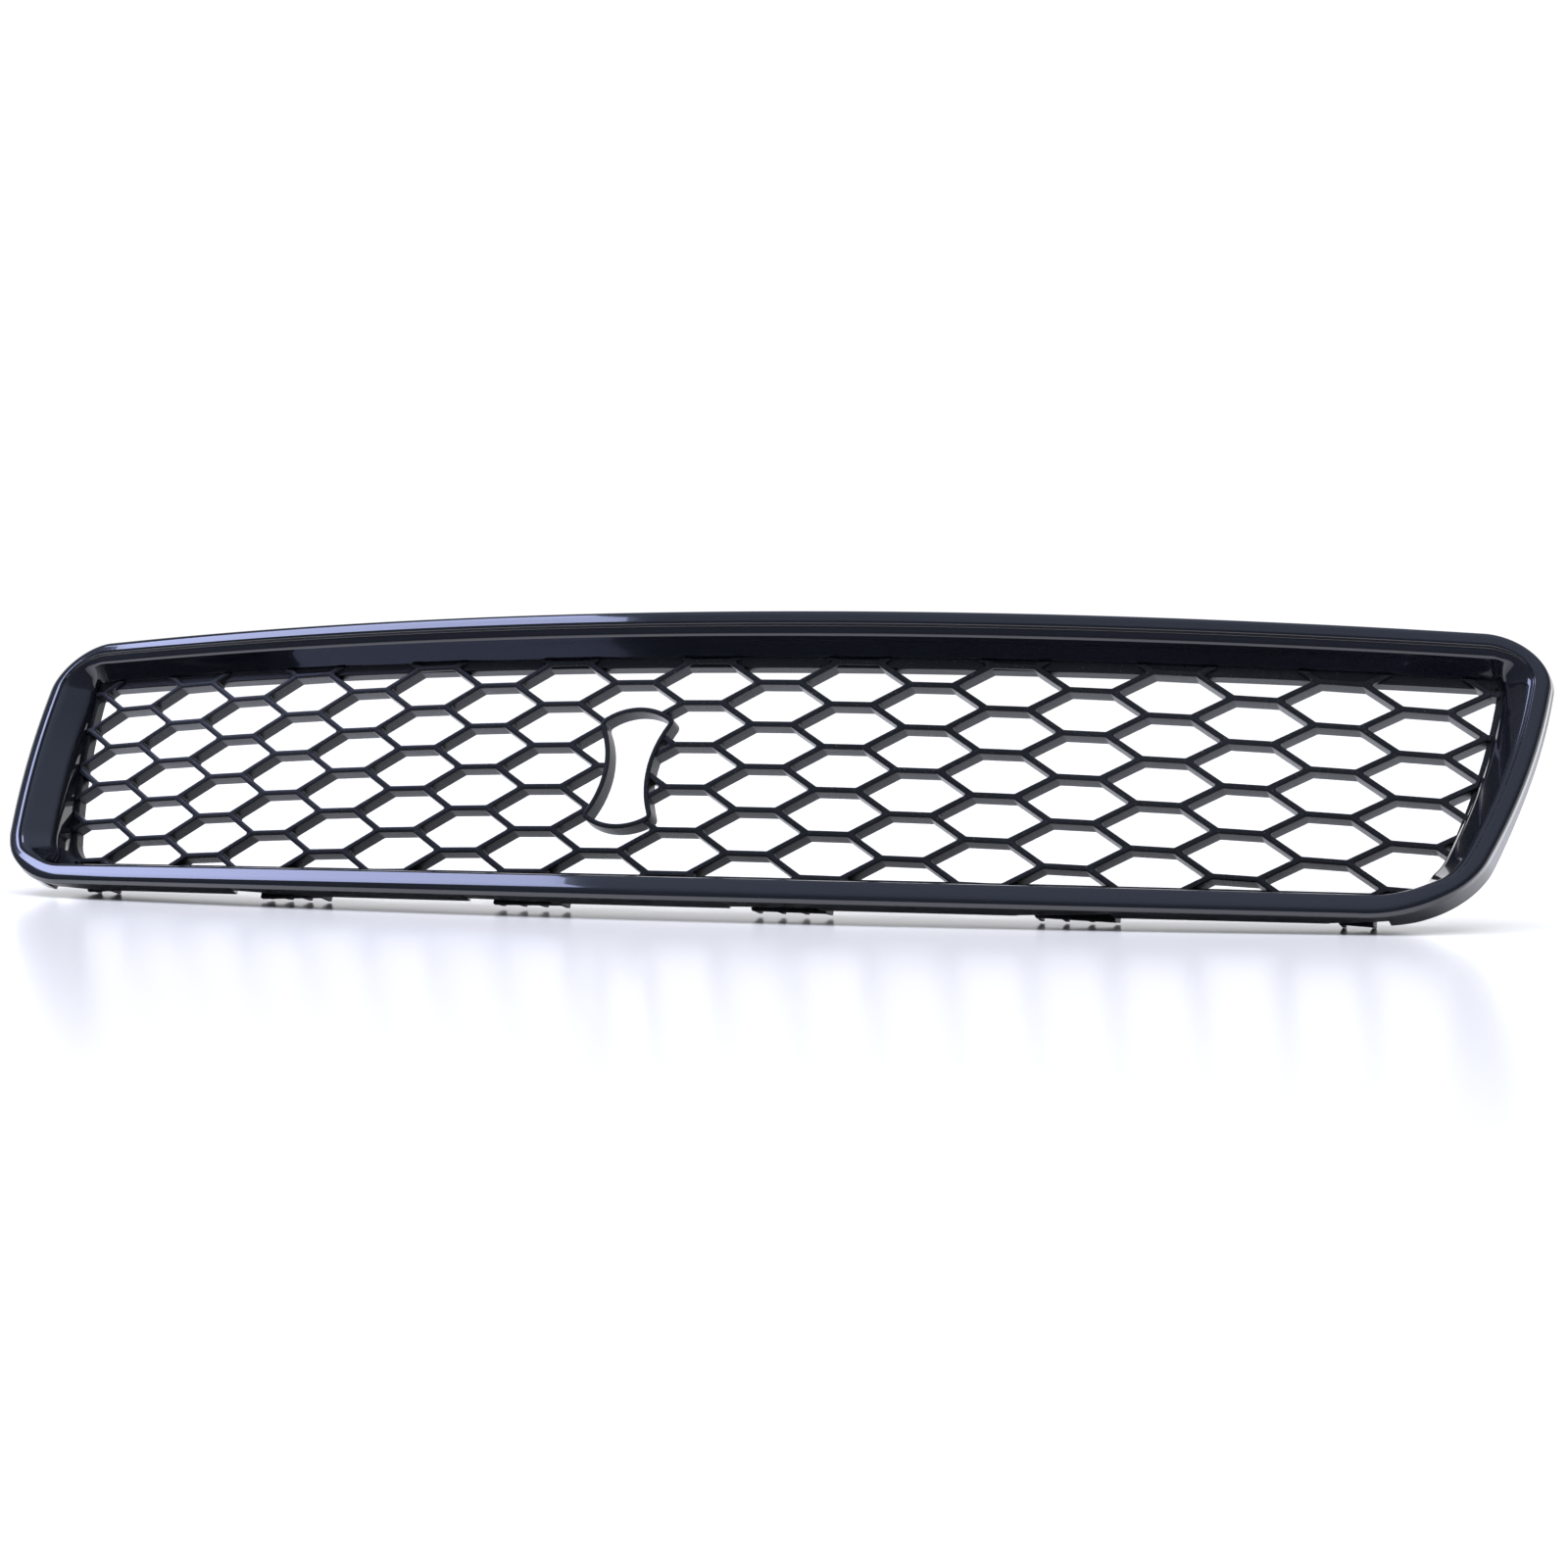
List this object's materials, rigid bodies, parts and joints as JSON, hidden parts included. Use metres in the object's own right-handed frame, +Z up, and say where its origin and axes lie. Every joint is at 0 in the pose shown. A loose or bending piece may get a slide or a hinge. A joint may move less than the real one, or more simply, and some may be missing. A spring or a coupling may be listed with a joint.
{
  "type": "car front grille",
  "caption": "Wide car front grille: a glossy black framed surround with a recessed honeycomb insert, a badge collar, snap lugs below and screw ears above.",
  "frame": {"origin": "middle of the width and of the depth, at the level of the lug tips that the grille stands on", "axes": "front faces -Y, +X to the right seen from the front, +Z up. It leans back: its mounting direction, along the pins, is +Y turned 25.2 degrees down about X"},
  "size_m": [0.7966, 0.1493, 0.1432],
  "materials": {
    "gloss_black": "high-gloss painted black plastic",
    "insert_black": "semi-gloss moulded black plastic",
    "fixing_black": "unpainted moulded plastic",
    "stake_black": "melted plastic heads",
    "bush_steel": "zinc-plated steel",
    "seal_foam": "closed-cell foam rubber"
  },
  "bodies": {
    "root": {"bezel": "gloss_black", "mesh_insert": "insert_black", "badge_collar": "insert_black", "snap_lug_outer_left": "fixing_black", "snap_lug_inner_left": "fixing_black", "snap_lug_inner_right": "fixing_black", "snap_lug_outer_right": "fixing_black", "end_hook_left": "fixing_black", "end_hook_right": "fixing_black", "ear_outer_left": "fixing_black", "ear_inner_left": "fixing_black", "ear_inner_right": "fixing_black", "ear_outer_right": "fixing_black", "ear_bushes": "bush_steel", "heat_stakes": "stake_black", "top_seal": "seal_foam", "guide_pin_left": "fixing_black", "guide_pin_right": "fixing_black"}
  },
  "joints": []
}
